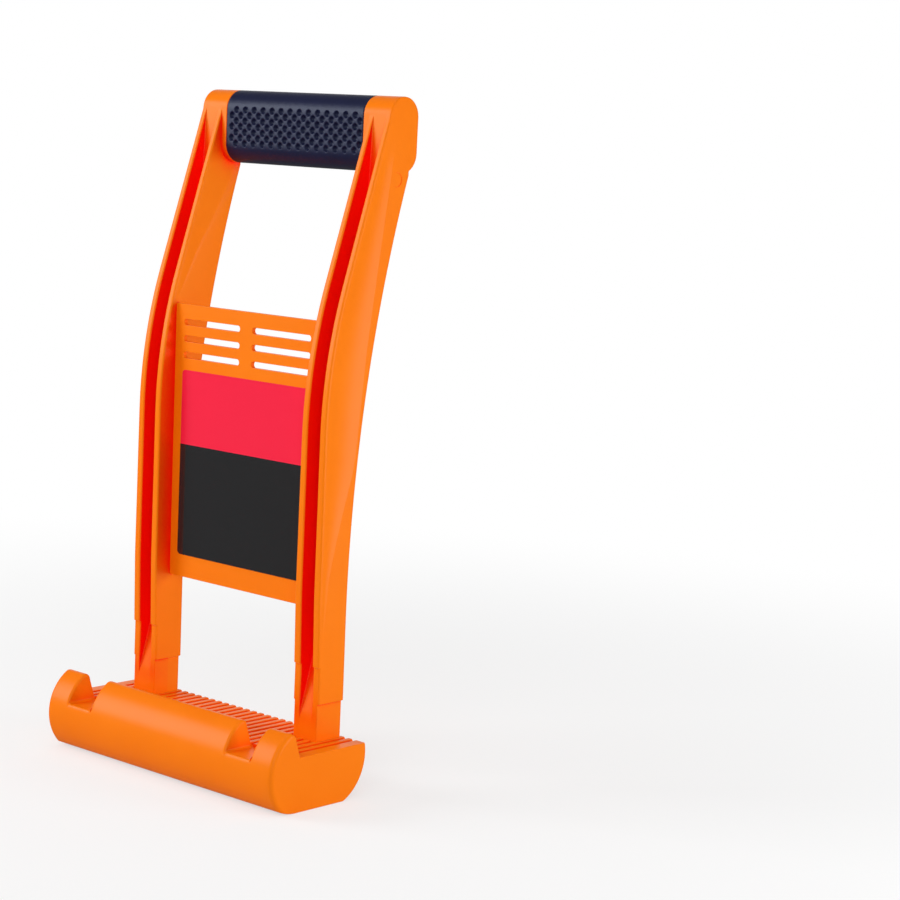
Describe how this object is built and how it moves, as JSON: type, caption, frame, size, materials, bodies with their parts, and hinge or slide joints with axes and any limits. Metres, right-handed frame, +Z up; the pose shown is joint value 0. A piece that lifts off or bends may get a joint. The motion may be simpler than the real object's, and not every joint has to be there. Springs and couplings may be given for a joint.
{
  "type": "panel carrier",
  "caption": "Hand carrier for boards: a ribbed hook with a notched lip takes the lower edge, and two leaning channel legs joined by a plate end in a soft oval grip.",
  "frame": {"origin": "on the flat underside of the hook, in the middle plane, below the front faces of the legs that the board leans on", "axes": "X across the carrier from the left leg to the right leg, Y from the board side to the back, Z up from the hook to the grip"},
  "size_m": [0.195, 0.116, 0.3956],
  "materials": {
    "orange_moulding": "satin orange moulding",
    "printed_sheet": "glossy printed film, red over black",
    "black_tube": "plain black",
    "soft_grip": "matt soft rubber with dimples",
    "brass_bush": "turned",
    "zinc_steel": "zinc plated"
  },
  "bodies": {
    "root": {"hook_base": "orange_moulding", "left_leg": "orange_moulding", "right_leg": "orange_moulding", "centre_plate": "orange_moulding", "label_sheet": "printed_sheet", "handle_core": "black_tube", "grip_sleeve": "soft_grip", "leg_inserts": "brass_bush", "leg_screws": "zinc_steel", "leg_washers": "zinc_steel", "handle_screws": "zinc_steel"}
  },
  "joints": []
}
